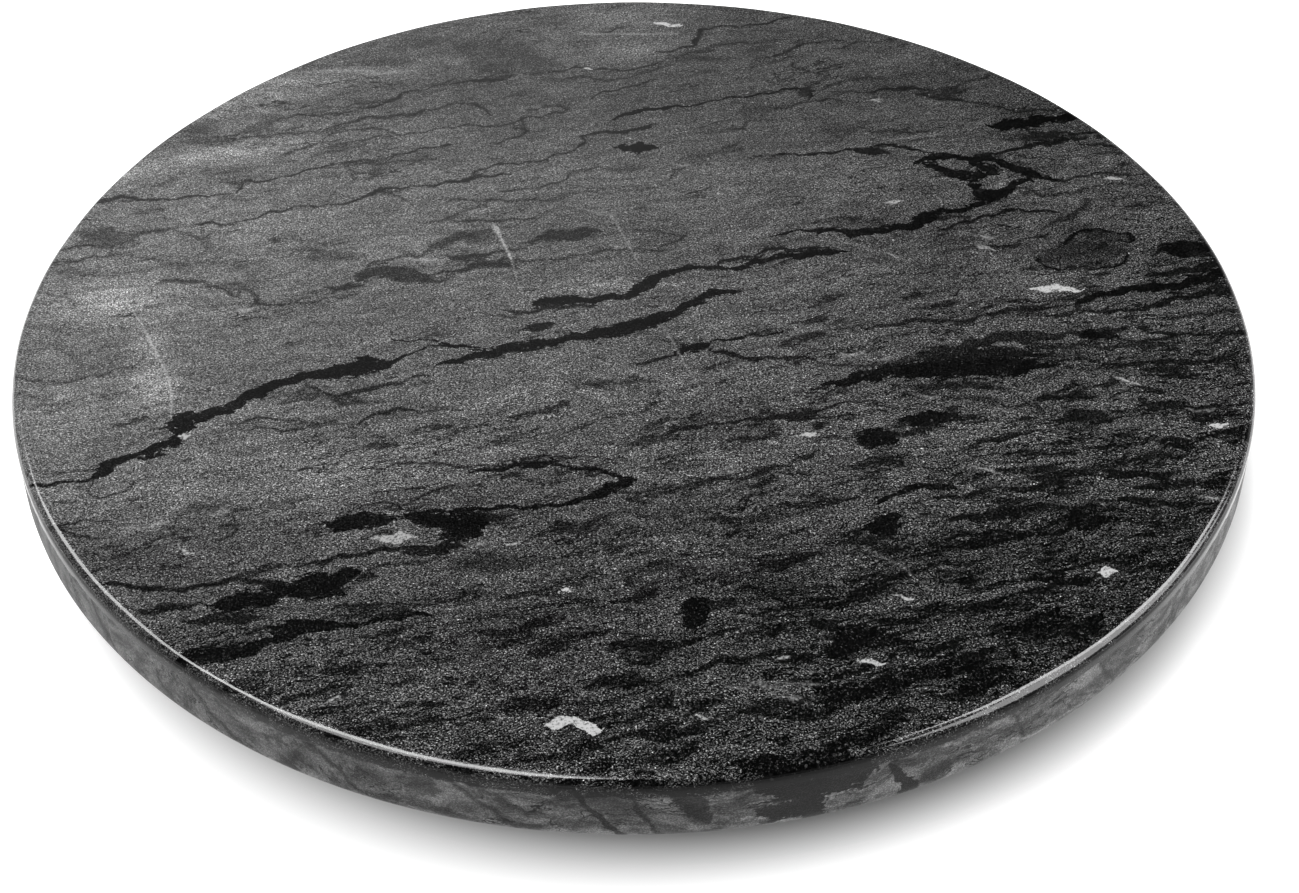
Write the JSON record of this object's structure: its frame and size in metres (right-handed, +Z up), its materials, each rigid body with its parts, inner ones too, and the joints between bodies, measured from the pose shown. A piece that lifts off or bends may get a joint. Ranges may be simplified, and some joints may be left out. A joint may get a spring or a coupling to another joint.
{
  "type": "lazy susan turntable",
  "caption": "Round dark marble plate with an eased edge that turns freely on a ring ball bearing, on a smaller round base with rubber feet.",
  "frame": {"origin": "on the table under the middle of the plate: the turning axis at the level of the feet's undersides", "axes": "+Z up along the turning axis, -Y towards the person using it, +X to their right"},
  "size_m": [0.305, 0.305, 0.0405],
  "materials": {
    "marble": "polished top and edge, honed side, veined and speckled dark grey",
    "brass": "turned",
    "pad": "matte",
    "bearing_ring": "turned, satin anodised",
    "screw_steel": "zinc plated",
    "pin_steel": "plain spring steel",
    "ball_steel": "ground and polished",
    "nylon": "natural nylon",
    "base_plastic": "fine moulded texture, black",
    "plug_rubber": "matte black",
    "foot_rubber": "matte dark"
  },
  "bodies": {
    "base": {"base_shell": "base_plastic", "fixed_ring": "bearing_ring", "loading_plug": "bearing_ring", "plug_pin": "pin_steel", "fixed_ring_screws": "screw_steel", "base_inserts": "brass", "access_plug": "plug_rubber", "foot_screws": "screw_steel", "foot_washers": "screw_steel", "foot_1": "foot_rubber", "foot_2": "foot_rubber", "foot_3": "foot_rubber", "foot_4": "foot_rubber", "foot_5": "foot_rubber", "foot_6": "foot_rubber"},
    "ball_cage": {"ball_cage": "nylon", "bearing_balls": "ball_steel"},
    "turntable": {"marble_plate": "marble", "plate_anchors": "brass", "damping_pad": "pad", "turning_ring": "bearing_ring", "turning_ring_screws": "screw_steel"}
  },
  "joints": [
    {"name": "turntable_spin", "type": "hinge", "parent": "base", "child": "turntable", "pos_m": [0, 0, 0.017], "axis": [0, 0, 1], "continuous": true},
    {"name": "cage_spin", "type": "hinge", "parent": "base", "child": "ball_cage", "pos_m": [0, 0, 0.017], "axis": [0, 0, 1], "continuous": true}
  ],
  "couplings": [
    {"joint": "cage_spin", "follows": "turntable_spin", "ratio": 0.4841}
  ]
}
